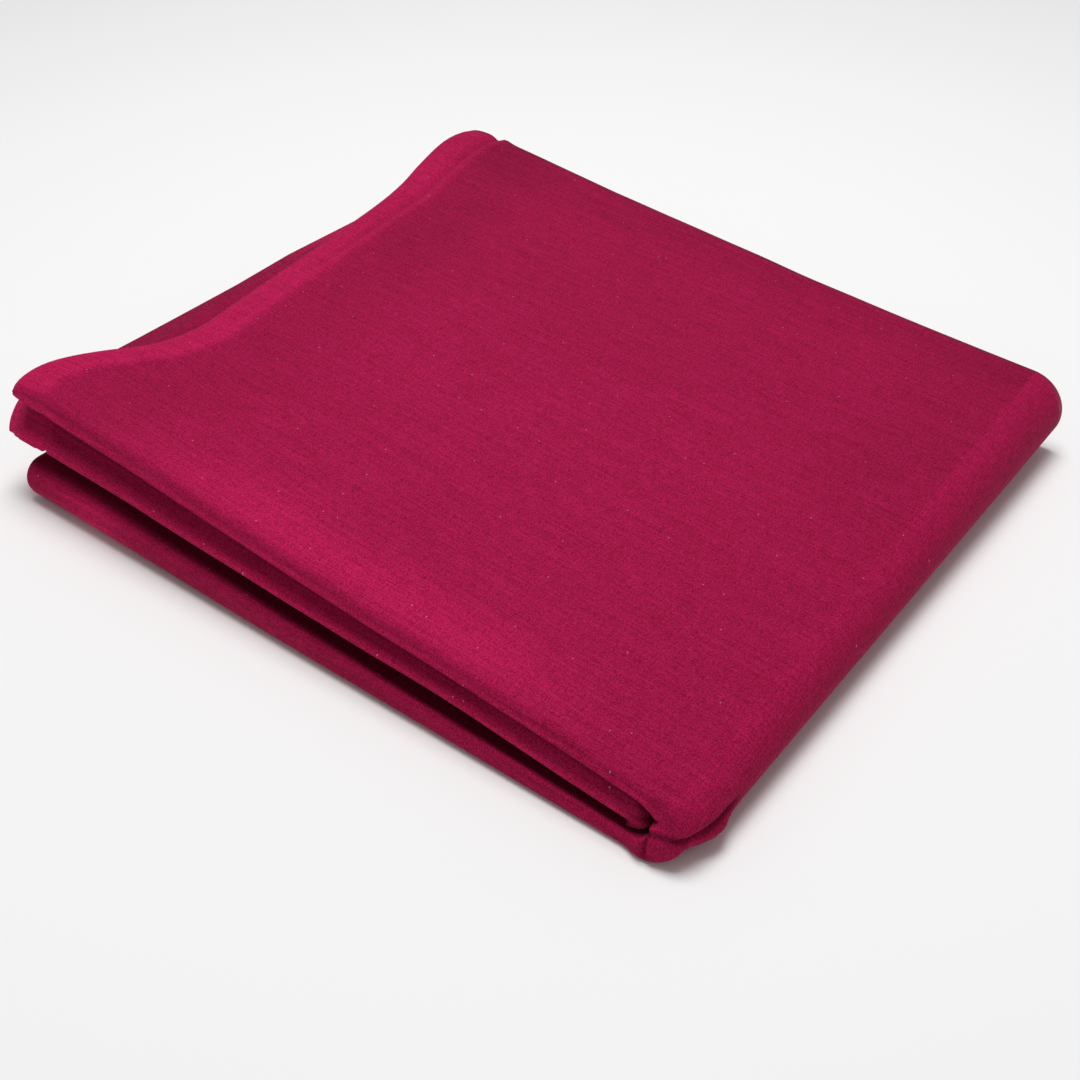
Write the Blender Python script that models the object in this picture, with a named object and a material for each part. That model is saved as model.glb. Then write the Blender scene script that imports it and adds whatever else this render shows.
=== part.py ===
"""Turban cloth, folded for sale: one length of cotton voile in a flat packet.

The cloth is doubled along its length, folded in four across its width, so that it zigzags
from one selvage to the other, and then folded over once more like a book. The near side (-Y)
shows the rolled folds, the far side (+Y) the selvages and the folds between them, +X is the
spine that the strip turns round, and -X is the open end, where the two boards part. The
doubling's own fold closes the lower board there, and the cloth's cut ends lie in the upper one.

Each ply here stands for several of the real cloth's.
Metres, +Z up, origin at the middle of the underside.
"""

import math
from collections import namedtuple

import bmesh
import bpy
from mathutils import Vector

# Sizes of the packet.
LENGTH = 0.300  # from the open end to the spine, on the near side
WIDTH = 0.267  # from the near rolls to the far selvages, at the spine
CLOTH = 0.0010  # thickness of a ply
PRESSED_NEAR = 0.00033  # gap between plies where the spine presses them, near side
PRESSED_FAR = 0.0011  # the same at the far side
LOOSE = 0.0020  # slack between plies at the open end, which the tables take shares of
SPINE_HOLLOW = 0.0002  # clear radius inside the innermost ply's turn
MOUTH_NEAR = 0.0028  # opening between the upper and the lower board at the open end
MOUTH_FAR = 0.0123  # the same at the far side

# Sizes of the open end.
END_STAGGER = 0.0120  # how far the upper board's ply ends lie apart at the open end
EAR_INSET = 0.0160  # width of the near corner, where the ends keep their setback
NEAR_EAR = 0.0520  # width over which they run from there into the ends between the corners
FAR_EAR = 0.1100  # the same at the far corner
LOWER_REACH = 0.0020  # how far the lower board's plies reach past the open end
END_FOLD = 0.0030  # the furthest that the doubling's fold bulges at the open end
PILLOW = 0.0180  # length over which the first roll's end rounds off
UPPER_SLIT = 0.30  # share of its height that the upper board's first roll keeps at its end
LOWER_SLIT = 0.75  # the same for the lower board's

# Sizes of the near and the far side.
ROLL_BULGE = 0.0070  # the furthest that a roll bulges past the line where it starts
SIDE_STEP = 0.0160  # how far rolls lie apart on the near side
FAR_FLARE = 0.0100  # how much further the far side stands out at the open end
SPINE_FLARE = 0.0035  # how much further the spine stands out on the far side
SELVAGE_STEP = 0.0030  # how far ply edges lie apart on the far side
TURN_STEP = 0.0090  # how far the inner roll's turn lies inside the spine, near side
TURN_FADE = 0.0600  # width over which that step runs out

# Mesh fineness.
RUN_ROWS = 8  # rows along a board, past its end rounding
PILLOW_ROWS = 4
TURN_ROWS = 9
FOLD_ROWS = 4
PLY_COLUMNS = 6
COLUMN_CROWDING = 0.6  # how far the columns crowd to the near side, 0 for not at all
ROLL_COLUMNS = 6
TUCK_COLUMNS = 4

CLOTH_COLOUR = (0.350, 0.010, 0.062, 1.0)
CLOTH_ROUGHNESS = 0.92

# The plies of one board, from the outside in. The slack columns give the gap to the next ply
# inwards at the open end, as a share of LOOSE, on the upper and the lower board. The end
# columns give how far the ply's end on the upper board is set back at the open end, at the
# near corner, between and at the far corner, as shares of END_STAGGER. far_step is the
# setback of the ply's free edge on the far side, as a share of SELVAGE_STEP.
Ply = namedtuple("Ply", "upper_slack lower_slack near_end mid_end far_end far_step")
PLIES = (
    Ply(0.40, 1.90, -0.90, 1.15, 1.15, 0.0),
    Ply(0.95, 2.70, 0.60, 1.10, -0.40, 0.5),
    Ply(0.40, 1.90, 0.60, 1.10, -0.40, 0.0),
    Ply(0.30, 0.20, -0.90, 1.15, 1.15, 0.0),
    Ply(0.90, 0.20, 1.00, 0.25, 0.20, 0.0),
    Ply(3.70, 0.25, -1.10, -0.45, -0.20, 0.0),
    Ply(0.90, 0.20, -1.10, -0.45, -0.20, 1.0),
    Ply(0.00, 0.00, 1.00, 0.25, 0.20, 0.4),
)

# The rolls on the near side: the plies that each one joins, and its setback at the open end
# and at the spine, on the upper and the lower board, as shares of SIDE_STEP. A negative
# setback stands out.
Roll = namedtuple("Roll", "first last upper_open upper_spine lower_open lower_spine")
FIRST_ROLL = Roll(0, 3, 0.42, 0.00, 0.05, -0.24)
SECOND_ROLL = Roll(4, 7, 0.24, 0.28, 0.75, 0.30)

# The doubled cloth's two halves, by the plies that each takes from selvage to selvage.
OUTER_HALF = (0, 3, 4, 7)
INNER_HALF = (1, 2, 5, 6)

# A place along the strip: on the upper board, round the spine or on the lower board, and its
# share of the way there. On a board, share 0 is at the open end and 1 where the turn starts.
Station = namedtuple("Station", "part share")

# A place across the strip: on a ply, round a near-side roll or round a far-side tuck.
# first and last count the plies along the zigzag, 0 to 3.
Column = namedtuple("Column", "part first last share")


def mix(a, b, share):
    return a + (b - a) * share


def ease(share):
    """A smooth step from 0 to 1."""
    share = min(max(share, 0.0), 1.0)
    return share * share * (3.0 - 2.0 * share)


def across(near, far, y):
    """A value that runs evenly from the near side to the far side."""
    return mix(near, far, y / WIDTH + 0.5)


def level(ply, slack):
    """Depth of a ply's middle below its board's outside at the open end."""
    return CLOTH / 2 + sum(CLOTH + LOOSE * getattr(p, slack) for p in PLIES[:ply])


def board(slack):
    """Thickness of one board at the open end."""
    return level(len(PLIES) - 1, slack) + CLOTH / 2


def pressed_pitch(y):
    return CLOTH + across(PRESSED_NEAR, PRESSED_FAR, y)


def spine_radius(y):
    return CLOTH + (len(PLIES) - 1) * pressed_pitch(y) + SPINE_HOLLOW


def turn_circle(ply, y):
    """Centre (x, z) and radius of a ply's turn round the spine."""
    radius = spine_radius(y)
    inner = ease((ply - FIRST_ROLL.last) / (SECOND_ROLL.first - FIRST_ROLL.last))
    step = TURN_STEP * inner * (1.0 - ease((y + WIDTH / 2) / TURN_FADE))
    climb = (open_middle(y) - radius) / (LENGTH - radius)
    spine = LENGTH / 2 + across(0.0, SPINE_FLARE, y)
    centre = Vector((spine - radius - step, radius + step * climb))
    return centre, radius - CLOTH / 2 - ply * pressed_pitch(y)


def open_height(ply, y, upper):
    """Height of a ply's middle at the open end."""
    if not upper:
        return level(ply, "lower_slack")
    top = board("lower_slack") + across(MOUTH_NEAR, MOUTH_FAR, y) + board("upper_slack")
    return top - level(ply, "upper_slack")


def open_middle(y):
    """Height midway between the two boards' first rolls at the open end."""
    return (open_height(FIRST_ROLL.last, y, True) + open_height(FIRST_ROLL.last, y, False)) / 2


def past_ear(y):
    """0 at the open end's near corner, 1 past it."""
    return ease((y + WIDTH / 2 - EAR_INSET) / NEAR_EAR)


def end_x(ply, y, upper):
    """Where a ply ends at the open end."""
    if not upper:
        return -LENGTH / 2 - LOWER_REACH
    row = PLIES[ply]
    setback = mix(row.near_end, row.mid_end, past_ear(y))
    setback = mix(setback, row.far_end, ease((y - WIDTH / 2 + FAR_EAR) / FAR_EAR))
    return -LENGTH / 2 + END_STAGGER * setback


def run_line(ply, y, upper):
    """A ply's straight line on a board: its start, its touch on the turn, the angle there.

    Angles go round the turn from its top, past the spine, to its bottom.
    """
    start = Vector((-LENGTH / 2, open_height(ply, y, upper)))
    centre, radius = turn_circle(ply, y)
    away = centre - start
    slope = math.atan2(away.y, away.x)
    lean = math.asin(radius / away.length)
    angle = -(slope + lean) if upper else math.pi - (slope - lean)
    touch = centre + radius * Vector((math.sin(angle), math.cos(angle)))
    return start, touch, angle


def on_line(ply, y, upper, x):
    """The point (x, z) of a ply's middle on a board, at a given x."""
    start, touch, _ = run_line(ply, y, upper)
    return start.lerp(touch, (x - start.x) / (touch.x - start.x))


def on_turn(ply, y, share):
    """The point (x, z) of a ply's middle round the spine."""
    centre, radius = turn_circle(ply, y)
    angle = mix(run_line(ply, y, True)[2], run_line(ply, y, False)[2], share)
    return centre + radius * Vector((math.sin(angle), math.cos(angle)))


def run_x(ply, y, station):
    upper = station.part == "upper"
    return mix(end_x(ply, y, upper), run_line(ply, y, upper)[1].x, station.share)


def kept_height(y, upper, x):
    """How much of its height the first roll keeps, where its end rounds off at the corner."""
    slit = UPPER_SLIT if upper else LOWER_SLIT
    short = max(0.0, 1.0 - (x - end_x(FIRST_ROLL.first, y, upper)) / PILLOW)
    kept = max(math.sqrt(max(0.0, 1.0 - short * short)), slit)
    return mix(kept, 1.0, past_ear(y))


def on_board(ply, y, upper, x):
    """The point (x, z) of a ply on a board, with the end rounding of the first roll."""
    point = on_line(ply, y, upper, x)
    if ply > FIRST_ROLL.last:
        return point
    outer = on_line(FIRST_ROLL.first, y, upper, x).y
    inner = on_line(FIRST_ROLL.last, y, upper, x).y
    return Vector((x, mix((outer + inner) / 2, point.y, kept_height(y, upper, x))))


def ply_pair(first, last, y, station, turned):
    """The points (x, z) of two plies that a fold joins, where it is turned that far."""
    if station.part == "turn":
        return on_turn(first, y, station.share), on_turn(last, y, station.share)
    upper = station.part == "upper"
    x = mix(run_x(first, y, station), run_x(last, y, station), turned)
    return on_board(first, y, upper, x), on_board(last, y, upper, x)


def share_along(ply, y, station):
    """How far along the packet a ply's station lies, 0 at the open end and 1 at the spine."""
    if station.part == "turn":
        return 1.0
    return min(max(run_x(ply, y, station) / LENGTH + 0.5, 0.0), 1.0)


def roll_of(ply):
    return FIRST_ROLL if ply <= FIRST_ROLL.last else SECOND_ROLL


def roll_height(ply, y, station):
    """Height of a ply's whole roll, from middle to middle of its outermost plies."""
    roll = roll_of(ply)
    if station.part == "turn":
        first, last = on_turn(roll.first, y, station.share), on_turn(roll.last, y, station.share)
    else:
        upper, x = station.part == "upper", run_x(ply, y, station)
        first, last = on_board(roll.first, y, upper, x), on_board(roll.last, y, upper, x)
    return (first - last).length


def near_line(ply, station):
    """For a ply's roll on the near side: (y of its outermost line, y where it starts)."""
    roll, along = roll_of(ply), share_along(ply, -WIDTH / 2, station)
    lower = {"upper": 0.0, "turn": station.share, "lower": 1.0}[station.part]
    upper_step = mix(roll.upper_open, roll.upper_spine, along)
    lower_step = mix(roll.lower_open, roll.lower_spine, along)
    edge = -WIDTH / 2 + SIDE_STEP * mix(upper_step, lower_step, lower)
    return edge, edge + min(roll_height(ply, edge, station) / 2, ROLL_BULGE)


def far_edge(ply, station):
    """Where a ply without setback ends on the far side."""
    short = 1.0 - share_along(ply, WIDTH / 2, station)
    return WIDTH / 2 + FAR_FLARE * short * short


def far_line(ply, station):
    """Where a ply starts to turn into its tuck on the far side."""
    return far_edge(ply, station) - SELVAGE_STEP - 1.5 * pressed_pitch(WIDTH / 2)


def folded(first, last, line, bulge, station, turned):
    """A point round a fold that joins two plies, from 0 on the first to 1 on the last."""
    a, b = ply_pair(first, last, line, station, turned)
    flat = (a + b) / 2 + (a - b) / 2 * math.cos(math.pi * turned)
    return Vector((flat.x, line + bulge * math.sin(math.pi * turned), flat.y))


def roll_point(first, last, station, turned):
    """A point round a near-side roll. The inner half's roll is the outer half's, scaled down."""
    edge, line = near_line(first, station)
    a, b = ply_pair(first, last, line, station, turned)
    bulge = (edge - line) * (a - b).length / roll_height(first, line, station)
    return folded(first, last, line, bulge, station, turned)


def tuck_point(first, last, station, turned):
    """A point round a far-side tuck."""
    line = mix(far_line(first, station), far_line(last, station), turned)
    a, b = ply_pair(first, last, line, station, turned)
    bulge = min((a - b).length / 2, ROLL_BULGE)
    return folded(first, last, line, bulge, station, turned)


def flat_point(ply, to_tuck, station, share):
    """A point of a ply between its roll, share 0, and its far tuck or selvage, share 1."""
    if to_tuck:
        far = far_line(ply, station)
    else:
        far = far_edge(ply, station) - SELVAGE_STEP * PLIES[ply].far_step
    y = mix(near_line(ply, station)[1], far, share)
    point = ply_pair(ply, ply, y, station, 0.0)[0]
    return Vector((point.x, y, point.y))


def half_point(half, column, station):
    """A point of one half of the doubled cloth."""
    first, last = half[column.first], half[column.last]
    if column.part == "roll":
        return roll_point(first, last, station, column.share)
    if column.part == "tuck":
        return tuck_point(first, last, station, column.share)
    return flat_point(first, column.first in (1, 2), station, column.share)


def doubled_point(column, station, doubled):
    """A point of the cloth: doubled is 0 on the outer half, 1 on the inner, between in its fold."""
    if doubled == 0.0:
        return half_point(OUTER_HALF, column, station)
    if doubled == 1.0:
        return half_point(INNER_HALF, column, station)
    outer = half_point(OUTER_HALF, column, station)
    inner = half_point(INNER_HALF, column, station)
    half = (outer - inner) / 2
    bulge = Vector((min(half.length, END_FOLD), 0.0, 0.0))
    turned = math.pi * doubled
    return (outer + inner) / 2 + half * math.cos(turned) - bulge * math.sin(turned)


def cloth_columns():
    """The cloth's columns, from selvage to selvage."""
    even = [k / PLY_COLUMNS for k in range(PLY_COLUMNS + 1)]
    out = [mix(share, share * share, COLUMN_CROWDING) for share in even]
    back = out[::-1]
    rolled = [k / ROLL_COLUMNS for k in range(1, ROLL_COLUMNS)]
    tucked = [k / TUCK_COLUMNS for k in range(1, TUCK_COLUMNS)]
    stretches = (
        ("ply", 0, 0, back),
        ("roll", 0, 1, rolled),
        ("ply", 1, 1, out),
        ("tuck", 1, 2, tucked),
        ("ply", 2, 2, back),
        ("roll", 2, 3, rolled),
        ("ply", 3, 3, out),
    )
    return [Column(*stretch[:3], share) for stretch in stretches for share in stretch[3]]


def cloth_rows():
    """The cloth's rows, as (station, doubled): out along the outer half, back along the inner."""
    rounding = PILLOW / LENGTH
    end = [rounding * (1.0 - math.cos(math.pi / 2 * k / PILLOW_ROWS)) for k in range(PILLOW_ROWS)]
    shares = end + [mix(rounding, 1.0, k / RUN_ROWS) for k in range(RUN_ROWS + 1)]
    strip = [Station("upper", share) for share in shares]
    strip += [Station("turn", k / TURN_ROWS) for k in range(1, TURN_ROWS)]
    strip += [Station("lower", share) for share in reversed(shares)]
    outer = [(station, 0.0) for station in strip]
    fold = [(strip[-1], k / FOLD_ROWS) for k in range(1, FOLD_ROWS)]
    inner = [(station, 1.0) for station in reversed(strip)]
    return outer + fold + inner


def cloth_material():
    material = bpy.data.materials.new("crimson voile")
    material.use_nodes = True
    shader = material.node_tree.nodes["Principled BSDF"]
    shader.inputs["Base Color"].default_value = CLOTH_COLOUR
    shader.inputs["Roughness"].default_value = CLOTH_ROUGHNESS
    return material


def make_cloth():
    """A flat grid, laid into its folds and given the cloth's wall."""
    columns, rows = cloth_columns(), cloth_rows()
    sheet = bmesh.new()
    bmesh.ops.create_grid(sheet, x_segments=len(columns) - 1, y_segments=len(rows) - 1, size=0.5)
    for corner in sheet.verts:
        column = columns[round((corner.co.x + 0.5) * (len(columns) - 1))]
        station, doubled = rows[round((corner.co.y + 0.5) * (len(rows) - 1))]
        corner.co = doubled_point(column, station, doubled)
    mesh = bpy.data.meshes.new("turban_cloth")
    sheet.to_mesh(mesh)
    sheet.free()
    mesh.materials.append(cloth_material())
    mesh.shade_smooth()
    cloth = bpy.data.objects.new("turban_cloth", mesh)
    bpy.context.scene.collection.objects.link(cloth)
    wall = cloth.modifiers.new("wall", "SOLIDIFY")
    wall.thickness = CLOTH
    wall.offset = 0.0
    wall.use_even_offset = False
    for axis in (0, 1):
        places = [corner.co[axis] for corner in mesh.vertices]
        cloth.location[axis] = -(min(places) + max(places)) / 2


def main():
    for old in list(bpy.data.objects):
        bpy.data.objects.remove(old)
    make_cloth()


main()
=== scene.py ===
"""The looks of a folded turban cloth: crimson cotton voile, many plies deep, lying as folded.

The cloth is laid into the same folds as the part's source lays it, finer, and as four nested
lengths of thin voile where the part has one thick ply. Metres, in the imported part's frame.
"""

import math
from collections import namedtuple

import bmesh
import bpy
from mathutils import Matrix, Vector, noise


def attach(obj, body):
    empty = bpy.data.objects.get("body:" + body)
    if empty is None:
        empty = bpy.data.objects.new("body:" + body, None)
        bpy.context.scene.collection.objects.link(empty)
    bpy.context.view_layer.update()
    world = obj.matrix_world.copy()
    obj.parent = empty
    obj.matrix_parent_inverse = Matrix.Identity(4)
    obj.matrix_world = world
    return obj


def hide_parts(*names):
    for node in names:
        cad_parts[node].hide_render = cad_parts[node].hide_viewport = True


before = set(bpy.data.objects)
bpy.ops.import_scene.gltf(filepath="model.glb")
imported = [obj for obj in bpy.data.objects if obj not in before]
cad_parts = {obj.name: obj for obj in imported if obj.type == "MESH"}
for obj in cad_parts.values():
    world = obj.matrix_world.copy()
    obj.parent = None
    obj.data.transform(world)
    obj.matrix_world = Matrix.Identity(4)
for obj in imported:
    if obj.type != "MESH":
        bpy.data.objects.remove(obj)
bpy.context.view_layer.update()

# Sizes of the packet, as the part has them.
LENGTH = 0.300  # from the open end to the spine, on the near side
WIDTH = 0.267  # from the near rolls to the far selvages, at the spine
PLY = 0.0010  # thickness of a ply of the part, which four lengths of voile fill
PRESSED_NEAR = 0.00033  # gap between plies where the spine presses them, near side
PRESSED_FAR = 0.0011  # the same at the far side
LOOSE = 0.0020  # slack between plies at the open end, which the tables take shares of
SPINE_HOLLOW = 0.0002  # clear radius inside the innermost ply's turn
MOUTH_NEAR = 0.0028  # opening between the upper and the lower board at the open end
MOUTH_FAR = 0.0123  # the same at the far side
END_STAGGER = 0.0120  # how far the upper board's ply ends lie apart, as the end lines take it
LOWER_REACH = 0.0020  # how far the lower board's plies reach past the open end
END_FOLD = 0.0030  # the furthest that the doubling's fold bulges at the open end
SIDE_STEP = 0.0160  # how far rolls lie apart on the near side
SPINE_FLARE = 0.0035  # how much further the spine stands out on the far side
SELVAGE_STEP = 0.0030  # how far ply edges lie apart on the far side
TURN_FADE = 0.0600  # width over which the inner roll's step at the spine runs out
PACKET_SHIFT = Vector((0.00516, -0.00316, 0.0))  # from the folding's middle to the part's

# Sizes of the voile's own shape.
VOILE = 0.00022  # thickness of the cloth itself
FAR_FLARE = 0.0110  # how much further the far side stands out at the open end
TURN_STEP = 0.0100  # how far the inner roll's turn lies inside the spine, near side
ROLL_BULGE = 0.0070  # how far a lower roll bulges past the line where it starts
UPPER_BULGE = 0.0130  # the same for the upper rolls, which slope down over it
UPPER_FULLNESS = 2.2  # that bulge over half the roll's height, where the roll is thin
TUCK_BULGE = 0.0070  # the furthest that a tuck bulges past its line
TUCK_ROOM = 1.5  # how far a tuck stays inside the far edge, in pressed pitches
EDGE_ROUND = 0.0150  # length over which the upper board's end rounds down
EDGE_KEPT = 0.52  # share of its height that the upper board's first roll keeps there
EAR_KEPT = 0.06  # the same at the near corner, where the roll's end closes
EAR_LEVEL = 0.55  # where it closes, from the roll's first ply to its last
TIP_ROUND = 0.0060  # length over which the top ply's own end bends down
TIP_DROP = 0.0006  # how far it bends
BUNDLE_FLARE = 0.0060  # length over which the bundle's roll fills out past the lip's end
BUNDLE_SAG = 0.0034  # how far the bundle sags there
BUNDLE_SAGS = {5: 0.3, 6: 1.0}  # the share of that which each of its plies takes
NOSE = 0.0090  # how far the ends of the upper board's second roll come out in a nose
NOSE_TURN = 0.62  # the share of the way round which that nose turns about
LIP_SAG = 0.0030  # how far the upper board's lip hangs down towards the spine
GROOVE_NEAR, GROOVE_FAR = 0.0125, 0.0185  # from the top's end to the groove along it
CORNER_TURN = 0.0105  # from the floor and the spine to the middle of the near corner's turn
CORNER_PULL = 0.0042  # how far that turn is drawn together
PULL_PEAK = 0.52  # where on the turn's radius it is drawn most
UPPER_CHAMFER, LOWER_CHAMFER = 0.0050, 0.0044  # how far the near corner is cut back

# Painted light and shade in the voile's colour: 1 is its own colour, a lower value is painted shade
# and a higher one painted light.
INSIDE_SHADE = 0.45  # painted shade deep between the rolls, where little light comes
BUNDLE_PAINTED_LIGHT = 1.42  # painted light on the inner half's roll, whose end shows in the shadow under the near corner
LIP_PAINTED_LIGHT = 1.06  # painted light on the upper board's lip
MOUTH_SHADE = 0.40  # painted shade on the plies close behind the top in the middle of the open end
BEHIND_SHADE = 0.82  # lighter painted shade on the same plies further out
TIP_SHADE = 0.35  # painted shade on the top's own end there
TIP_SHADED = 0.0028  # width of the painted shadow line on either side of that end
BEHIND_SHADED = 0.0040  # length over which the painted shadow line fades on the plies behind

# The plies of one board from the outside in: the gap to the next ply inwards at the open end,
# as a share of LOOSE, on the upper and the lower board, the name of the ply's end line, and the
# setback of its free edge on the far side, as a share of SELVAGE_STEP.
Ply = namedtuple("Ply", "upper_slack lower_slack end_line far_step")
PLIES = (
    Ply(0.40, 1.90, "top", 0.0),
    Ply(0.95, 2.70, "leaf", 0.5),
    Ply(0.40, 1.90, "leaf", 0.0),
    Ply(0.30, 0.20, "top", 0.0),
    Ply(0.90, 0.20, "lip", 0.0),
    Ply(3.70, 0.25, "bundle", 0.0),
    Ply(0.90, 0.20, "bundle", 1.0),
    Ply(0.00, 0.00, "lip", 0.4),
)

# Where the upper board's plies end at the open end: the share across the packet, and the
# setback there as a share of END_STAGGER.
End = namedtuple("End", "across setback")
END_LINES = {
    "top": (
        End(0.00, 0.05), End(0.02, -0.42), End(0.04, -0.76), End(0.07, -0.90),
        End(0.10, -0.80), End(0.13, -0.48), End(0.17, 0.12), End(0.21, 0.80),
        End(0.26, 1.22), End(0.31, 1.33), End(0.39, 1.15), End(0.47, 1.00),
        End(0.56, 0.84), End(0.64, 0.70), End(0.74, 0.44), End(0.82, 0.12),
        End(0.88, -0.26), End(0.97, -0.72), End(1.02, -0.70), End(1.05, -0.38),
    ),
    "leaf": (
        End(0.00, 0.60), End(0.16, 1.10), End(0.34, 1.75), End(0.49, 1.35),
        End(0.57, 1.06), End(0.63, 0.79), End(0.74, 0.52), End(0.82, 0.20),
        End(0.88, -0.18), End(0.97, -0.64), End(1.02, -0.62), End(1.05, -0.30),
    ),
    "lip": (End(0.00, 1.00), End(0.10, 0.95), End(0.30, 0.30), End(1.00, 0.22)),
    "bundle": (
        End(0.00, -0.86), End(0.03, -1.08), End(0.08, -1.06), End(0.20, -0.72), End(0.40, -0.62),
        End(0.63, -0.60), End(0.80, -0.25), End(1.00, -0.20),
    ),
}

# The rolls on the near side: the plies that each joins, and its setback at the open end and
# at the spine, on the upper and the lower board, as shares of SIDE_STEP. The bend says how far
# towards the spine the lower board's setback keeps, 1 for a straight line.
Roll = namedtuple("Roll", "first last upper_open upper_spine lower_open lower_spine bend")
FIRST_ROLL = Roll(0, 3, 0.42, 0.00, 0.05, -0.24, 1)
SECOND_ROLL = Roll(4, 7, 0.20, -0.08, 1.50, -0.06, 5)

# The section round a fold, from its first ply to its last: how far out it lies, and how far
# down from the first ply to the last, both as shares, at equal steps of the way round.
Turn = namedtuple("Turn", "out down")
ROUND_FOLD = (
    Turn(0.00, 0.00), Turn(0.30, 0.025), Turn(0.59, 0.10), Turn(0.81, 0.21), Turn(0.95, 0.35),
    Turn(1.00, 0.50), Turn(0.95, 0.65), Turn(0.81, 0.79), Turn(0.59, 0.90), Turn(0.30, 0.975),
    Turn(0.00, 1.00),
)
BOXED_FOLD = (
    Turn(0.00, 0.00), Turn(0.40, 0.01), Turn(0.74, 0.06), Turn(0.93, 0.19), Turn(1.00, 0.37),
    Turn(1.00, 0.56), Turn(0.96, 0.74), Turn(0.86, 0.90), Turn(0.66, 1.02), Turn(0.32, 1.05),
    Turn(0.00, 1.00),
)
DRAPED_FOLD = (
    Turn(0.00, 0.00), Turn(0.26, 0.03), Turn(0.50, 0.13), Turn(0.66, 0.29), Turn(0.75, 0.48),
    Turn(0.83, 0.62), Turn(0.94, 0.73), Turn(1.00, 0.83), Turn(0.90, 0.93), Turn(0.50, 0.99),
    Turn(0.00, 1.00),
)
LIP_FOLD = (
    Turn(0.00, 0.00), Turn(0.16, 0.08), Turn(0.30, 0.22), Turn(0.44, 0.37), Turn(0.60, 0.51),
    Turn(0.77, 0.64), Turn(0.92, 0.76), Turn(1.00, 0.86), Turn(0.90, 0.95), Turn(0.50, 0.99),
    Turn(0.00, 1.00),
)

# The plies that each half of the doubled cloth takes, from the top selvage to the bottom one.
OUTER_HALF = (0, 3, 4, 7)
INNER_HALF = (1, 2, 5, 6)

BOARD_CROWDING = 0.7  # how much a board's rows crowd towards its ends

# A station is a place along the strip, and a column one across it. The part says which stretch
# it lies on, and the share how far along that.
Station = namedtuple("Station", "part share trim")
Column = namedtuple("Column", "part first last share")


def mix(a, b, share):
    return a + (b - a) * share


def clamp(share):
    return min(max(share, 0.0), 1.0)


def ease(share):
    share = clamp(share)
    return share * share * (3.0 - 2.0 * share)


class Step(namedtuple("Step", "start length")):
    """A soft step along an axis, from 0 to 1. With a negative length it runs down the axis."""

    def run(self, value):
        return clamp((value - self.start) / self.length)

    def at(self, value):
        return ease(self.run(value))


class Span(namedtuple("Span", "rise fall")):
    """The stretch of an axis between two soft steps."""

    def at(self, value):
        return self.rise.at(value) * self.fall.at(value)


class Band(namedtuple("Band", "middle wide")):
    """A soft band across an axis, 1 at its middle."""

    def at(self, value):
        return math.exp(-(((value - self.middle) / self.wide) ** 2))


class Spot(namedtuple("Spot", "amount x y z past", defaults=(None, None, None, None))):
    """An amount that holds where a point lies along the axes and past the open end's groove."""

    def at(self, point, past=0.0):
        amount = self.amount
        for where, value in zip((self.x, self.y, self.z, self.past), (*point, past)):
            if where is not None:
                amount *= where.at(value)
        return amount


# Where the open end's shapes and its painted light and shade lie, from the folding's middle.
PAST_EAR = Step(-WIDTH / 2 + 0.016, 0.052)  # y, past its near corner
GROOVE_MOVES = Step(0.040, 0.090)  # y, where the groove draws away from the top's end
UPPER_BOARD = Step(0.024, 0.010)  # z
STRIP_RIDGE = Spot(0.0008, z=UPPER_BOARD, past=Band(0.0050, 0.0040))
STRIP_GROOVE = Spot(-0.0016, y=Step(0.0, 0.060), z=UPPER_BOARD, past=Band(0.0, 0.0028))
MOUTH_MIDDLE = Span(Step(-0.110, 0.025), Step(0.040, -0.030))  # y, where plies show behind the top and get painted shade
BEHIND = Step(TIP_SHADED, BEHIND_SHADED)  # outwards from the top's end, where the painted shade lightens
TIP = Step(TIP_SHADED, -TIP_SHADED)  # inwards from the top's end, across the painted shadow line on the top
# Painted light and shade on the top, each added as a share of its own colour.
TOP_PAINTED_SHADING = (
    Spot(0.26, past=Step(0.009, -0.009)),  # painted light on the strip outside the groove
    Spot(0.12, past=Band(0.0035, 0.0024)),  # painted highlight on the ridge
    Spot(-0.26, y=Step(-0.010, 0.050), past=Band(0.0, 0.0016)),  # painted shade in the groove
    Spot(-0.12, past=Band(0.022, 0.024)),  # painted shade in the hollow past the ridge
    Spot(0.26, Span(Step(-0.110, 0.080), Step(0.112, -0.060)), Band(-0.118, 0.011)),  # painted light along the near fold
    Spot(-0.08, x=Step(0.080, 0.050)),  # painted shade towards the spine
    Spot(-0.15, x=Step(0.118, 0.020), z=Step(0.036, 0.010)),  # painted shade at the spine's start at the far side
    Spot(-0.08, y=Step(-0.020, 0.080)),  # painted shade on the far half
    Spot(-0.10, y=Step(0.105, 0.020)),  # painted shade along the far edge
)

# Where the near side's shapes and its painted light and shade lie. The shares run round a roll, or
# along a ply.
BOXED = Step(0.0, 0.5)  # share of the length, where the lower roll's section turns boxed
LIP_SIDE = Step(-WIDTH / 2 + 0.024, -0.024)  # y
LIP_HANGS = Span(Step(0.050, 0.070), Step(0.144, -0.016))  # x
ROLL_UPPER_END, ROLL_LOWER_END = 0.84, 0.80  # shares of the outer roll where the painted shade of the gap begins
ROLL_GAP_FADE = 0.10  # share over which that painted shade darkens
LIP_START, LIP_END = Step(0.37, -0.25), Step(0.90, 0.08)  # shares, where the lip's painted shade runs out from its start and sets in towards its end
PLY_START = Step(0.25, -0.25)  # share along a ply over which its painted shade runs out
RIM_HIGHLIGHT, RIM = 0.30, Band(0.67, 0.05)  # share, the painted highlight along an upper roll's rim
TOP_TO_RIM = Step(0.0, 0.5)  # share
LOWER_LIGHT = Spot(0.5, x=Band(-0.116, 0.019))  # the light that reaches the lower roll there
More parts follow.
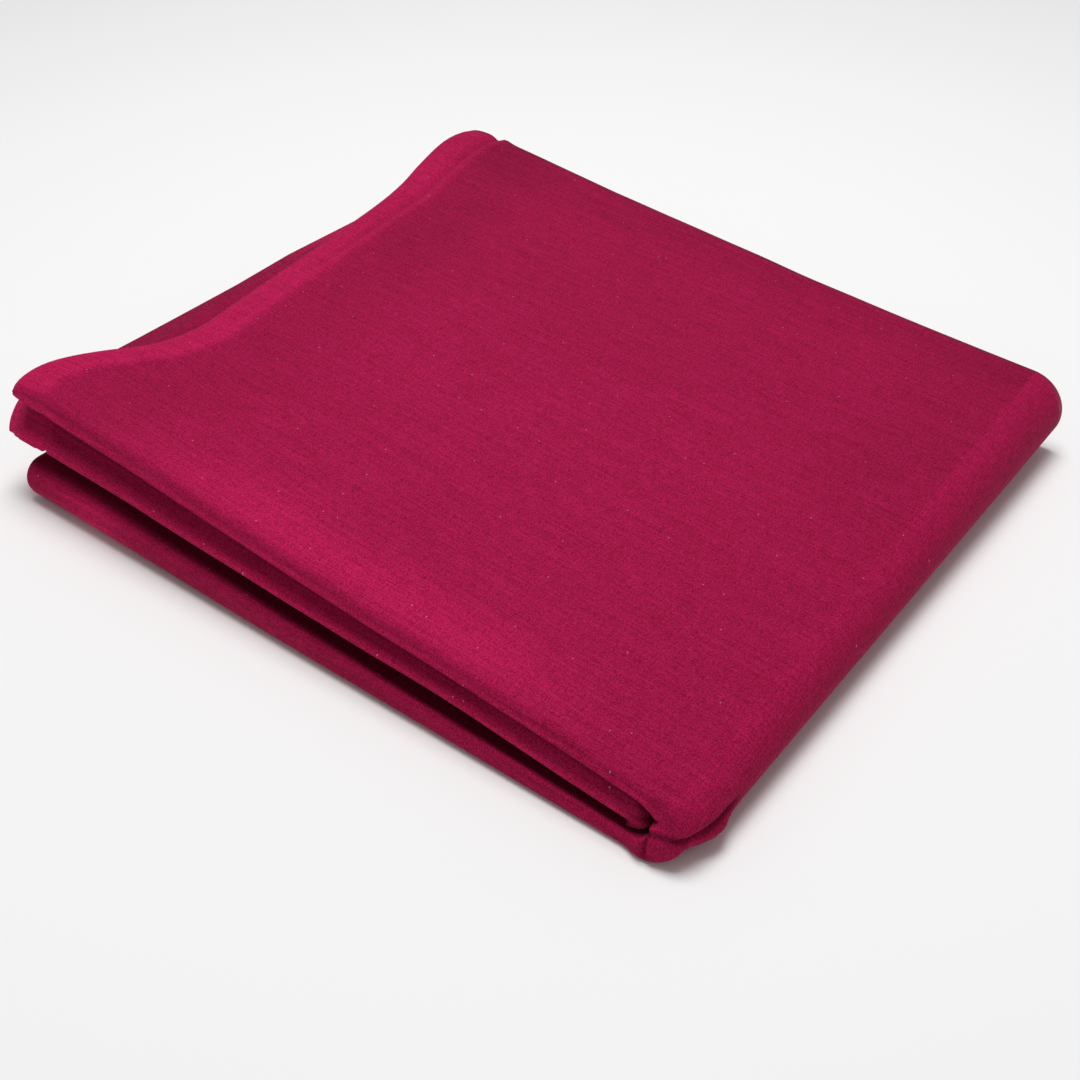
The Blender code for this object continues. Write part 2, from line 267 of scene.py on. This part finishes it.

# Where the near corner's shapes and its painted shade lie, at the spine.
CORNER_SPINE = Step(0.112, 0.034)  # x
CORNER_LOW = Step(0.0145, -0.0060)  # z, below the lip
CHAMFER_SIDE = Step(-0.120, -0.018)  # y
CLOSED = Spot(CORNER_PULL, x=Step(0.127, 0.010), y=Step(-0.1175, -0.0060))
CORNER_RELIEF = (
    Spot(0.0020, CORNER_SPINE, Band(-0.1215, 0.0060), CORNER_LOW),  # the bulge
    Spot(-0.0008, CORNER_SPINE, Band(-0.1300, 0.0028), CORNER_LOW),  # the wave beside it
    Spot(-0.0026, CORNER_SPINE, Step(-0.109, -0.010), Band(0.0112, 0.0012)),  # the lip's crease
)
CORNER_SEAM = Spot(0.0016, Band(0.140, 0.001), Step(-0.124, -0.008),
                   Span(Step(0.001, 0.003), Step(0.015, -0.004)))
CORNER_DRAWN = Spot(0.0014, x=Step(0.130, 0.008), z=CORNER_LOW)  # outwards, in step with the chamfer
# Painted shade in the lip's crease and along the seam at the near corner.
CREASE_SHADE = Spot(0.55, Step(0.128, 0.010), Step(-0.104, -0.010), Band(0.0112, 0.0013))
SEAM_SHADE = Spot(0.44, Band(0.140, 0.001), Step(-0.124, -0.008), Step(0.013, -0.003))

# The soft waves of the whole packet, which run out at the underside.
Wave = namedtuple("Wave", "high x_scale y_scale layer")
WAVES = (Wave(0.0011, 14.0, 14.0, 3.7), Wave(0.00035, 34.0, 26.0, 9.1))
LIFTED = Step(0.003, 0.020)  # z


def drop_round(share):
    """How far a quarter round has dropped, where share runs from 0 at its start to 1."""
    return 1.0 - math.sqrt(1.0 - clamp(share) ** 2)


def across(near, far, y):
    return mix(near, far, y / WIDTH + 0.5)


def level(ply, slack):
    """Depth of a ply's middle below its board's outside at the open end."""
    return PLY / 2 + sum(PLY + LOOSE * getattr(p, slack) for p in PLIES[:ply])


UPPER_LEVELS = [level(ply, "upper_slack") for ply in range(len(PLIES))]
LOWER_LEVELS = [level(ply, "lower_slack") for ply in range(len(PLIES))]
BOARDS = UPPER_LEVELS[-1] + LOWER_LEVELS[-1] + PLY


def pressed_pitch(y):
    return PLY + across(PRESSED_NEAR, PRESSED_FAR, y)


def spine_radius(y):
    return PLY + (len(PLIES) - 1) * pressed_pitch(y) + SPINE_HOLLOW


def open_height(ply, y, upper):
    """Height of a ply's middle at the open end."""
    if not upper:
        return LOWER_LEVELS[ply]
    return BOARDS + across(MOUTH_NEAR, MOUTH_FAR, y) - UPPER_LEVELS[ply]


def turn_circle(ply, y):
    """Centre (x, z) and radius of a ply's turn round the spine."""
    radius = spine_radius(y)
    last = FIRST_ROLL.last
    middle = (open_height(last, y, True) + open_height(last, y, False)) / 2
    step = 0.0
    if ply > last:
        step = TURN_STEP * (1.0 - ease((y + WIDTH / 2) / TURN_FADE))
    climb = (middle - radius) / (LENGTH - radius)
    spine = LENGTH / 2 + across(0.0, SPINE_FLARE, y)
    centre = Vector((spine - radius - step, radius + step * climb))
    return centre, radius - PLY / 2 - ply * pressed_pitch(y)


def line_slope(line, k):
    """The slope of an end line at its point k, from the points on either side."""
    before, after = line[max(k - 1, 0)], line[min(k + 1, len(line) - 1)]
    return (after.setback - before.setback) / (after.across - before.across)


def line_setback(name, y):
    """The setback of an end line at a place across the packet, on a smooth curve."""
    line = END_LINES[name]
    there = min(max(y / WIDTH + 0.5, line[0].across), line[-1].across)
    k = next(k for k in range(len(line) - 1) if there <= line[k + 1].across)
    a, b = line[k], line[k + 1]
    wide = b.across - a.across
    t = (there - a.across) / wide
    bend_a = line_slope(line, k) * wide - (b.setback - a.setback)
    bend_b = (b.setback - a.setback) - line_slope(line, k + 1) * wide
    return mix(a.setback, b.setback, t) + t * (1.0 - t) * mix(bend_a, bend_b, t)


def end_x(ply, y, upper):
    if not upper:
        return -LENGTH / 2 - LOWER_REACH
    return -LENGTH / 2 + END_STAGGER * line_setback(PLIES[ply].end_line, y)


def run_line(ply, y, upper):
    """A ply's straight line on a board: its start, its touch on the turn, the angle there."""
    start = Vector((-LENGTH / 2, open_height(ply, y, upper)))
    centre, radius = turn_circle(ply, y)
    away = centre - start
    slope = math.atan2(away.y, away.x)
    lean = math.asin(radius / away.length)
    angle = -(slope + lean) if upper else math.pi - (slope - lean)
    touch = centre + radius * Vector((math.sin(angle), math.cos(angle)))
    return start, touch, angle


def on_line(ply, y, upper, x):
    start, touch, _ = run_line(ply, y, upper)
    return mix(start.y, touch.y, (x - start.x) / (touch.x - start.x))


def on_turn(ply, y, share):
    centre, radius = turn_circle(ply, y)
    angle = mix(run_line(ply, y, True)[2], run_line(ply, y, False)[2], share)
    return centre + radius * Vector((math.sin(angle), math.cos(angle)))


def run_x(ply, y, station):
    upper = station.part == "upper"
    end = end_x(ply, y, upper) + (station.trim if upper else 0.0)
    return mix(end, run_line(ply, y, upper)[1].x, station.share)


def on_board(ply, y, upper, x):
    """The height of a ply on a board, with the rounding of the open end."""
    height = on_line(ply, y, upper, x)
    if not upper:
        return height
    if ply > FIRST_ROLL.last:
        past_lip = ease((end_x(SECOND_ROLL.first, y, True) - x) / BUNDLE_FLARE)
        return height - BUNDLE_SAG * past_lip * BUNDLE_SAGS.get(ply, 0.0)
    outer = on_line(FIRST_ROLL.first, y, upper, x)
    inner = on_line(FIRST_ROLL.last, y, upper, x)
    reach = min(end_x(0, y, True), end_x(1, y, True))
    rounded = drop_round(1.0 - (x - reach) / EDGE_ROUND)
    past = PAST_EAR.at(y)
    kept = 1.0 - rounded * (1.0 - mix(EAR_KEPT, EDGE_KEPT, past))
    if ply == FIRST_ROLL.first:
        own = drop_round(1.0 - (x - end_x(0, y, True)) / TIP_ROUND)
        height -= TIP_DROP * own * past
    return mix(mix(mix(outer, inner, EAR_LEVEL), inner, past), height, kept)


def place(ply, y, station, x_ply=None):
    """The point (x, z) of a ply at a station, or on a board at another ply's x there."""
    if station.part == "turn":
        return on_turn(ply, y, station.share)
    x = run_x(ply if x_ply is None else x_ply, y, station)
    return Vector((x, on_board(ply, y, station.part == "upper", x)))


def share_along(ply, y, station):
    if station.part == "turn":
        return 1.0
    return clamp(run_x(ply, y, station) / LENGTH + 0.5)


def lowerness(station):
    return {"upper": 0.0, "turn": station.share, "lower": 1.0}[station.part]


def roll_of(ply):
    return FIRST_ROLL if ply <= FIRST_ROLL.last else SECOND_ROLL


def roll_height(ply, y, station):
    roll = roll_of(ply)
    return (place(roll.first, y, station, ply) - place(roll.last, y, station, ply)).length


def near_line(ply, station):
    """For a ply's roll on the near side: (y of its outermost line, y where it starts)."""
    roll, along = roll_of(ply), share_along(ply, -WIDTH / 2, station)
    lower = lowerness(station)
    upper_step = mix(roll.upper_open, roll.upper_spine, along)
    lower_step = mix(roll.lower_open, roll.lower_spine, along ** roll.bend)
    edge = -WIDTH / 2 + SIDE_STEP * mix(upper_step, lower_step, lower)
    high = roll_height(ply, edge, station) / 2
    bulge = mix(min(high * UPPER_FULLNESS, UPPER_BULGE), min(high, ROLL_BULGE), lower)
    return edge, edge + bulge


def far_edge(ply, station):
    short = 1.0 - share_along(ply, WIDTH / 2, station)
    return WIDTH / 2 + FAR_FLARE * short * short


def far_line(ply, station):
    return far_edge(ply, station) - SELVAGE_STEP - TUCK_ROOM * pressed_pitch(WIDTH / 2)


def section(fold, turned):
    """The (out, down) of a fold's section, on a smooth curve through its points."""
    there = turned * (len(fold) - 1)
    k = min(int(there), len(fold) - 2)
    a, b, c, d = (Vector(fold[min(max(k + n, 0), len(fold) - 1)]) for n in (-1, 0, 1, 2))
    t = there - k
    bend = (2 * a - 5 * b + 4 * c - d) * t * t + (3 * b - a - 3 * c + d) * t ** 3
    return b + ((c - a) * t + bend) / 2


def folded(first, last, line, bulge, station, turn):
    """A point round a fold that joins two plies, at an (out, down) of its section."""
    out, down = turn
    a, b = place(first, line, station), place(last, line, station)
    flat = a + (b - a) * down
    return Vector((flat.x, line + bulge * out, flat.y))


def roll_point(first, last, station, turned):
    """A point round a near-side roll. The inner half's roll is the outer half's, scaled down."""
    edge, line = near_line(first, station)
    wide = (place(first, line, station) - place(last, line, station)).length
    fill = wide / roll_height(first, line, station)
    if station.part == "upper" and first > FIRST_ROLL.last:
        lip_end = end_x(SECOND_ROLL.first, line, True)
        fill = mix(fill, 1.0, ease((lip_end - run_x(first, line, station)) / BUNDLE_FLARE))
    upper_fold = DRAPED_FOLD if first <= FIRST_ROLL.last else LIP_FOLD
    boxed = BOXED.at(share_along(first, line, station))
    lower_turn = section(ROUND_FOLD, turned).lerp(section(BOXED_FOLD, turned), boxed)
    turn = section(upper_fold, turned).lerp(lower_turn, lowerness(station))
    point = folded(first, last, line, (edge - line) * fill, station, turn)
    if station.part == "upper":
        point.x = mix(run_x(first, point.y, station), run_x(last, point.y, station), turned)
        if first > FIRST_ROLL.last:
            point.x += NOSE * math.sin(math.pi * turned) * (turned - NOSE_TURN)
    return point


def tuck_point(first, last, station, turned):
    line = mix(far_line(first, station), far_line(last, station), turned)
    high = (place(first, line, station) - place(last, line, station)).length / 2
    return folded(first, last, line, min(high, TUCK_BULGE), station, section(ROUND_FOLD, turned))


def flat_point(ply, to_tuck, station, share):
    if to_tuck:
        far = far_line(ply, station)
    else:
        far = far_edge(ply, station) - SELVAGE_STEP * PLIES[ply].far_step
    y = mix(near_line(ply, station)[1], far, share)
    point = place(ply, y, station)
    return Vector((point.x, y, point.y))


def half_point(half, column, station):
    first, last = half[column.first], half[column.last]
    if column.part == "roll":
        return roll_point(first, last, station, column.share)
    if column.part == "tuck":
        return tuck_point(first, last, station, column.share)
    return flat_point(first, column.first in (1, 2), station, column.share)


def cloth_point(column, station, doubled):
    """A point of a length: doubled is 0 on the outer half, 1 on the inner, between in its fold."""
    if doubled == 0.0:
        return half_point(OUTER_HALF, column, station)
    if doubled == 1.0:
        return half_point(INNER_HALF, column, station)
    outer = half_point(OUTER_HALF, column, station)
    inner = half_point(INNER_HALF, column, station)
    half = (outer - inner) / 2
    bulge = Vector((min(half.length, END_FOLD), 0.0, 0.0))
    turned = math.pi * doubled
    return (outer + inner) / 2 + half * math.cos(turned) - bulge * math.sin(turned)


def steps(count, crowding=0.0):
    """Shares from 0 to 1, crowded towards 0."""
    return [mix(k / count, (k / count) ** 2, crowding) for k in range(count + 1)]


def board_steps(count):
    """Shares from 0 to 1, crowded towards both ends."""
    return [mix(k / count, ease(k / count), BOARD_CROWDING) for k in range(count + 1)]


def cloth_columns(fine, coarse, rolled, tucked):
    """A length's columns from selvage to selvage, fine on the outermost ply."""
    outermost, others = steps(fine, crowding=0.25), steps(coarse, crowding=0.6)
    roll = [k / rolled for k in range(1, rolled)]
    tuck = [k / tucked for k in range(1, tucked)]
    stretches = (
        ("ply", 0, 0, outermost[::-1]),
        ("roll", 0, 1, roll),
        ("ply", 1, 1, others),
        ("tuck", 1, 2, tuck),
        ("ply", 2, 2, others[::-1]),
        ("roll", 2, 3, roll),
        ("ply", 3, 3, others),
    )
    return [Column(*stretch[:3], share) for stretch in stretches for share in stretch[3]]


def strip_stations(upper, turn, lower, trim):
    """Stations from the upper open end round the spine to the lower one."""
    strip = [Station("upper", share, trim) for share in board_steps(upper)]
    strip += [Station("turn", k / turn, trim) for k in range(1, turn)]
    strip += [Station("lower", share, trim) for share in reversed(board_steps(lower))]
    return strip


def cloth_rows(outer, inner, folds, trim):
    """A length's rows as (station, doubled)."""
    out, back = strip_stations(*outer, trim), strip_stations(*inner, trim)
    rows = [(station, 0.0) for station in out]
    rows += [(out[-1], k / folds) for k in range(1, folds)]
    return rows + [(station, 1.0) for station in reversed(back)]


def lip_sag(point):
    """How far the upper board's lip hangs over the lower board's roll, more towards the spine."""
    sag = LIP_SAG * LIP_HANGS.at(point.x) * LIP_SIDE.at(point.y)
    if sag == 0.0:
        return 0.0
    top = on_line(FIRST_ROLL.last, -WIDTH / 2, True, point.x) - PLY
    bottom = on_line(SECOND_ROLL.last, -WIDTH / 2, True, point.x) - PLY / 2
    roll = on_line(FIRST_ROLL.last, -WIDTH / 2, False, point.x) + PLY
    if point.z > bottom:
        return sag * ease((top - point.z) / (top - bottom))
    return sag * clamp((point.z - roll) / (bottom - roll))


def corner_closing(point):
    """Draws the near corner's turn together round its middle, which closes its end."""
    away = Vector((point.x - LENGTH / 2 + CORNER_TURN, point.z - CORNER_TURN))
    reach = away.length / CORNER_TURN
    pull = min(reach / PULL_PEAK, clamp((1.0 - reach) / (1.0 - PULL_PEAK)))
    away = away.normalized() * (-pull * CLOSED.at(point))
    return Vector((away.x, 0.0, away.y))


def corner_shape(point):
    """The near corner at the spine: its chamfer, the crease under its lip and its bulge."""
    low, near = CORNER_LOW.at(point.z), CHAMFER_SIDE.run(point.y)
    chamfer = mix(UPPER_CHAMFER * near * near, LOWER_CHAMFER * near, low)
    out = sum(relief.at(point) for relief in CORNER_RELIEF) - chamfer * CORNER_SPINE.at(point.x)
    return Vector((out, CORNER_SEAM.at(point) - CORNER_DRAWN.at(point) * near, 0.0))


def past_groove(point):
    """How far inwards a point lies from the groove along the upper open end."""
    groove = mix(GROOVE_NEAR, GROOVE_FAR, GROOVE_MOVES.at(point.y))
    return point.x - end_x(0, point.y, True) - groove


def open_strip(point):
    """The height of the ridge along the upper open end, and of the groove outside it."""
    past = past_groove(point)
    return STRIP_RIDGE.at(point, past) + STRIP_GROOVE.at(point, past)


def settle(point):
    """Soft waves, the open end's strip, the hanging lip and the near corner."""
    wave = sum(w.high * noise.noise(Vector((point.x * w.x_scale, point.y * w.y_scale, w.layer)))
               for w in WAVES)
    lift = wave * LIFTED.at(point.z) + open_strip(point) - lip_sag(point)
    point = point + Vector((0.0, 0.0, lift))
    point = point + corner_closing(point)
    return point + corner_shape(point)


def top_painted_shading(point):
    """Painted light and shade on the top: painted light along its folds, painted shade towards the
    spine and the far side.
    """
    past = past_groove(point)
    return 1.0 + sum(painted_shading.at(point, past) for painted_shading in TOP_PAINTED_SHADING)


def rim_highlight(turned):
    """The painted highlight round an upper roll, along its lower rim."""
    return 1.0 + RIM_HIGHLIGHT * RIM.at(turned)


def corner_shade(point):
    """Paints shade into the near corner's creases at the spine."""
    return 1.0 - max(CREASE_SHADE.at(point), SEAM_SHADE.at(point))


def inside(column, station):
    """How deep a point of the near side lies between the plies, from 0 on what shows to 1, which
    sets its painted shade.
    """
    lower = lowerness(station)
    if column.part == "roll" and column.first == 0:
        gap = Step(mix(ROLL_UPPER_END, ROLL_LOWER_END, lower), ROLL_GAP_FADE)
        return gap.at(column.share)
    if column.part == "roll":
        return mix(max(LIP_START.at(column.share), LIP_END.at(column.share)), 1.0, lower)
    if column.part == "ply" and column.first > 0:
        return PLY_START.at(column.share)
    return 0.0


def painted_shading_at(column, station, doubled, point):
    """The cloth's painted light and shade at a point, with painted shade darkening into the gaps
    between the rolls.
    """
    upper, shaded = station.part == "upper", MOUTH_MIDDLE.at(point.y)
    behind = end_x(0, point.y, True) - point.x
    mouth_shade = mix(MOUTH_SHADE, BEHIND_SHADE, BEHIND.at(behind))
    if doubled > 0.0:
        return mix(BUNDLE_PAINTED_LIGHT if column.first > 1 else 1.0, mouth_shade, shaded)
    painted_shading = mix(1.0, INSIDE_SHADE, inside(column, station))
    if column.first > 0 and column.part == "roll" and upper:
        return painted_shading * rim_highlight(column.share) * LIP_PAINTED_LIGHT
    if column.first > 0:
        return painted_shading * mix(1.0, mouth_shade, shaded)
    if not upper:
        return painted_shading * corner_shade(point) * (1.0 + LOWER_LIGHT.at(point))
    if column.part == "ply":
        return painted_shading * top_painted_shading(point) * mix(1.0, TIP_SHADE, shaded * TIP.at(-behind))
    return painted_shading * mix(top_painted_shading(point), rim_highlight(column.share), TOP_TO_RIM.at(column.share))


# How finely a length is divided: its columns on the outermost ply, on the others, round a roll
# and round a tuck, its rows on the upper board, round the spine and on the lower board, for the
# outer half and for the inner, and its rows round the fold that joins the halves.
Detail = namedtuple("Detail", "columns outer_rows inner_rows fold_rows")
FINE = Detail((76, 9, 20, 8), (104, 32, 52), (30, 16, 16), 6)
PLAIN = Detail((40, 8, 20, 8), (72, 24, 24), (28, 16, 16), 5)

# The four nested lengths: depth in the part's ply, and how far each is cut short of the
# outermost one at the upper open end.
Length = namedtuple("Length", "name depth trim detail")
LENGTHS = (
    Length("inner_length", -0.00044, 0.0062, PLAIN),
    Length("third_length", -0.00016, 0.0036, PLAIN),
    Length("second_length", 0.00010, 0.0050, PLAIN),
    Length("outer_length", 0.00044, 0.0, FINE),
)


def make_length(length):
    """A flat grid, laid into its folds, set to its depth and given the voile's thickness."""
    detail = length.detail
    columns = cloth_columns(*detail.columns)
    rows = cloth_rows(detail.outer_rows, detail.inner_rows, detail.fold_rows, length.trim)
    sheet = bmesh.new()
    across_count, along_count = len(columns) - 1, len(rows) - 1
    bmesh.ops.create_grid(sheet, x_segments=across_count, y_segments=along_count, size=0.5)
    # Painted light and shade, kept on each corner for the material.
    painted_shading = sheet.verts.layers.float.new("painted_shading")
    for corner in sheet.verts:
        column = columns[round((corner.co.x + 0.5) * across_count)]
        station, doubled = rows[round((corner.co.y + 0.5) * along_count)]
        corner.co = cloth_point(column, station, doubled)
        corner[painted_shading] = painted_shading_at(column, station, doubled, corner.co)
    sheet.normal_update()
    depths = [(corner, corner.co + corner.normal * length.depth) for corner in sheet.verts]
    for corner, there in depths:
        corner.co = settle(there) + PACKET_SHIFT
    mesh = bpy.data.meshes.new(length.name)
    sheet.to_mesh(mesh)
    sheet.free()
    mesh.shade_smooth()
    piece = bpy.data.objects.new(length.name, mesh)
    bpy.context.scene.collection.objects.link(piece)
    wall = piece.modifiers.new("wall", "SOLIDIFY")
    wall.thickness = VOILE
    wall.offset = 0.0
    wall.use_even_offset = False
    return piece


class Socket:
    """A node's output, with the arithmetic of the shader's numbers."""

    def __init__(self, maker, output):
        self.maker = maker
        self.output = output

    def math(self, operation, other):
        return self.maker.add("ShaderNodeMath", {"operation": operation}, {0: self, 1: other})

    def __add__(self, other):
        return self.math("ADD", other)

    __radd__ = __add__

    def __mul__(self, other):
        return self.math("MULTIPLY", other)

    __rmul__ = __mul__


class Maker:
    """Adds nodes to one material."""

    def __init__(self, name):
        self.material = bpy.data.materials.new(name)
        self.material.use_nodes = True
        self.nodes = self.material.node_tree.nodes
        self.links = self.material.node_tree.links
        self.shader = self.nodes["Principled BSDF"]

    def fill(self, node, inputs):
        for key, value in inputs.items():
            if isinstance(value, Socket):
                self.links.new(value.output, node.inputs[key])
            else:
                node.inputs[key].default_value = value

    def add(self, kind, settings, inputs, output=0):
        node = self.nodes.new(kind)
        for key, value in settings.items():
            setattr(node, key, value)
        self.fill(node, inputs)
        return Socket(self, node.outputs[output])


# The voile's finish. The scales are counts to the metre along each axis.
GRAIN_SCALE = 2300.0
CLOUD_SCALE = 16.0
LINT_SCALE = 75.0
WARP_SCALE = (2600.0, 180.0, 600.0)
WEFT_SCALE = (180.0, 2600.0, 600.0)
SLUB_SCALE = (26.0, 1100.0, 300.0)
GRAIN_SHARE, THREAD_SHARE = 0.58, 0.14  # of the weave's light and dark
WEAVE_DARK, WEAVE_LIGHT = 0.40, 0.60  # the weave's values that the two crimsons stand for
DARK_CRIMSON = (0.230, 0.0030, 0.034, 1.0)
LIGHT_CRIMSON = (0.480, 0.0120, 0.088, 1.0)
CLOUD = (0.55, 0.45, 0.50, 1.0)  # multiplies the crimson where it is thickest
CLOUD_SHARE = 0.16
LINT = (0.70, 0.25, 0.36, 1.0)
LINT_SHARE = 0.75
LINT_CORE, LINT_EDGE = 0.008, 0.022  # size of a speck, as shares of the lint's cell
LINT_PICK = 0.66  # cells above this carry a speck
PILE = (1.0, 0.45, 0.65, 1.0)


def noise_at(maker, vector, scale, detail):
    return maker.add("ShaderNodeTexNoise", {}, {"Vector": vector, "Scale": scale, "Detail": detail})


def stretched(maker, vector, scale):
    spot = maker.add("ShaderNodeMapping", {}, {"Vector": vector, "Scale": scale})
    return noise_at(maker, spot, 1.0, 1.0)


def mixed(maker, settings, share, a, b):
    inputs = {"Factor": share, "A": a, "B": b}
    return maker.add("ShaderNodeMix", {"data_type": "RGBA", **settings}, inputs, "Result")


def ranged(maker, value, low, high, at_low, at_high):
    inputs = {"Value": value, "From Min": low, "From Max": high, "To Min": at_low, "To Max": at_high}
    return maker.add("ShaderNodeMapRange", {}, inputs)


def voile_material():
    """Crimson cotton: a plain weave with slubs, lint and a soft pile, its colour scaled by the
    cloth's painted light and shade.
    """
    maker = Maker("crimson_voile")
    spot = maker.add("ShaderNodeTexCoord", {}, {}, "Object")
    grain = noise_at(maker, spot, GRAIN_SCALE, 1.0)
    warp = stretched(maker, spot, WARP_SCALE)
    weft = stretched(maker, spot, WEFT_SCALE)
    slubs = stretched(maker, spot, SLUB_SCALE)
    weave = GRAIN_SHARE * grain + THREAD_SHARE * warp + THREAD_SHARE * weft + THREAD_SHARE * slubs
    shade = ranged(maker, weave, WEAVE_DARK, WEAVE_LIGHT, 0.0, 1.0)
    base = mixed(maker, {}, shade, DARK_CRIMSON, LIGHT_CRIMSON)
    cloudy = noise_at(maker, spot, CLOUD_SCALE, 2.0)
    washed = mixed(maker, {"blend_type": "MULTIPLY"}, CLOUD_SHARE * cloudy, base, CLOUD)
    far, kind = (maker.add("ShaderNodeTexVoronoi", {"voronoi_dimensions": "2D"},
                           {"Vector": spot, "Scale": LINT_SCALE}, output)
                 for output in ("Distance", "Color"))
    speck = ranged(maker, far, LINT_CORE, LINT_EDGE, LINT_SHARE, 0.0)
    linty = mixed(maker, {}, speck * kind.math("GREATER_THAN", LINT_PICK), washed, LINT)
    # The painted light and shade kept on the cloth's corners scales the colour's value.
    painted_shading = maker.add("ShaderNodeAttribute", {"attribute_name": "painted_shading"}, {}, "Fac")
    with_painted_shading = maker.add("ShaderNodeHueSaturation", {}, {"Value": painted_shading, "Color": linty})
    bump = maker.add("ShaderNodeBump", {}, {"Height": warp + weft + grain, "Strength": 0.35,
                                            "Distance": 0.0003})
    maker.fill(maker.shader, {
        "Base Color": with_painted_shading,
        "Normal": bump,
        "Roughness": 0.92,
        "Specular IOR Level": 0.08,
        "Sheen Weight": 0.10,
        "Sheen Roughness": 0.25,
        "Sheen Tint": PILE,
    })
    return maker.material


def make_cloth():
    voile = voile_material()
    pieces = []
    for length in LENGTHS:
        piece = make_length(length)
        piece.data.materials.append(voile)
        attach(piece, "root")
        pieces.append(piece)
    for piece in pieces:
        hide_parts("turban_cloth")


FLOOR_REACH = 3.0  # from its middle to each side
KEY_PLACE = Vector((-0.10, 0.12, 1.45))  # overhead, a little behind
KEY_SIZE = 0.7
KEY_POWER = 17.0
ROOM_LIGHT = 0.30


def make_floor():
    grid = bmesh.new()
    bmesh.ops.create_grid(grid, x_segments=1, y_segments=1, size=FLOOR_REACH)
    mesh = bpy.data.meshes.new("floor")
    grid.to_mesh(mesh)
    grid.free()
    floor = bpy.data.objects.new("floor", mesh)
    bpy.context.scene.collection.objects.link(floor)
    maker = Maker("pale_floor")
    maker.fill(maker.shader, {"Base Color": (0.92, 0.92, 0.92, 1.0), "Roughness": 0.9})
    mesh.materials.append(maker.material)


def make_lights():
    data = bpy.data.lights.new("key", "AREA")
    data.shape = "SQUARE"
    data.size = KEY_SIZE
    data.energy = KEY_POWER
    key = bpy.data.objects.new("key", data)
    key.location = KEY_PLACE
    key.rotation_euler = (-KEY_PLACE).to_track_quat("-Z", "Y").to_euler()
    bpy.context.scene.collection.objects.link(key)
    world = bpy.data.worlds.new("studio")
    world.use_nodes = True
    backdrop = world.node_tree.nodes["Background"]
    backdrop.inputs["Color"].default_value = (1.0, 1.0, 1.0, 1.0)
    backdrop.inputs["Strength"].default_value = ROOM_LIGHT
    bpy.context.scene.world = world
    bpy.context.scene.view_settings.view_transform = "Standard"


# The photo's camera, worked out from the packet's edges.
CAMERA_PLACE = Vector((0.2719, -0.3641, 0.3270)) + PACKET_SHIFT
CAMERA_YAW, CAMERA_PITCH, CAMERA_ROLL = (math.radians(a) for a in (37.34, 38.40, 0.66))
CAMERA_LENS = 46.91
CAMERA_SENSOR = 36.0
CAMERA_CLIP = 0.01


def make_camera():
    forward = Vector((-math.sin(CAMERA_YAW) * math.cos(CAMERA_PITCH),
                      math.cos(CAMERA_YAW) * math.cos(CAMERA_PITCH),
                      -math.sin(CAMERA_PITCH)))
    right = Vector((math.cos(CAMERA_YAW), math.sin(CAMERA_YAW), 0.0))
    roll = Matrix.Rotation(CAMERA_ROLL, 3, forward)
    right, up = roll @ right, roll @ right.cross(forward)
    camera = bpy.data.objects.new("camera", bpy.data.cameras.new("camera"))
    turn = Matrix((right, up, -forward)).transposed().to_4x4()
    camera.matrix_world = Matrix.Translation(CAMERA_PLACE) @ turn
    camera.data.lens = CAMERA_LENS
    camera.data.sensor_width = CAMERA_SENSOR
    camera.data.clip_start = CAMERA_CLIP
    bpy.context.scene.collection.objects.link(camera)
    bpy.context.scene.camera = camera


make_camera()
make_floor()
make_lights()
make_cloth()
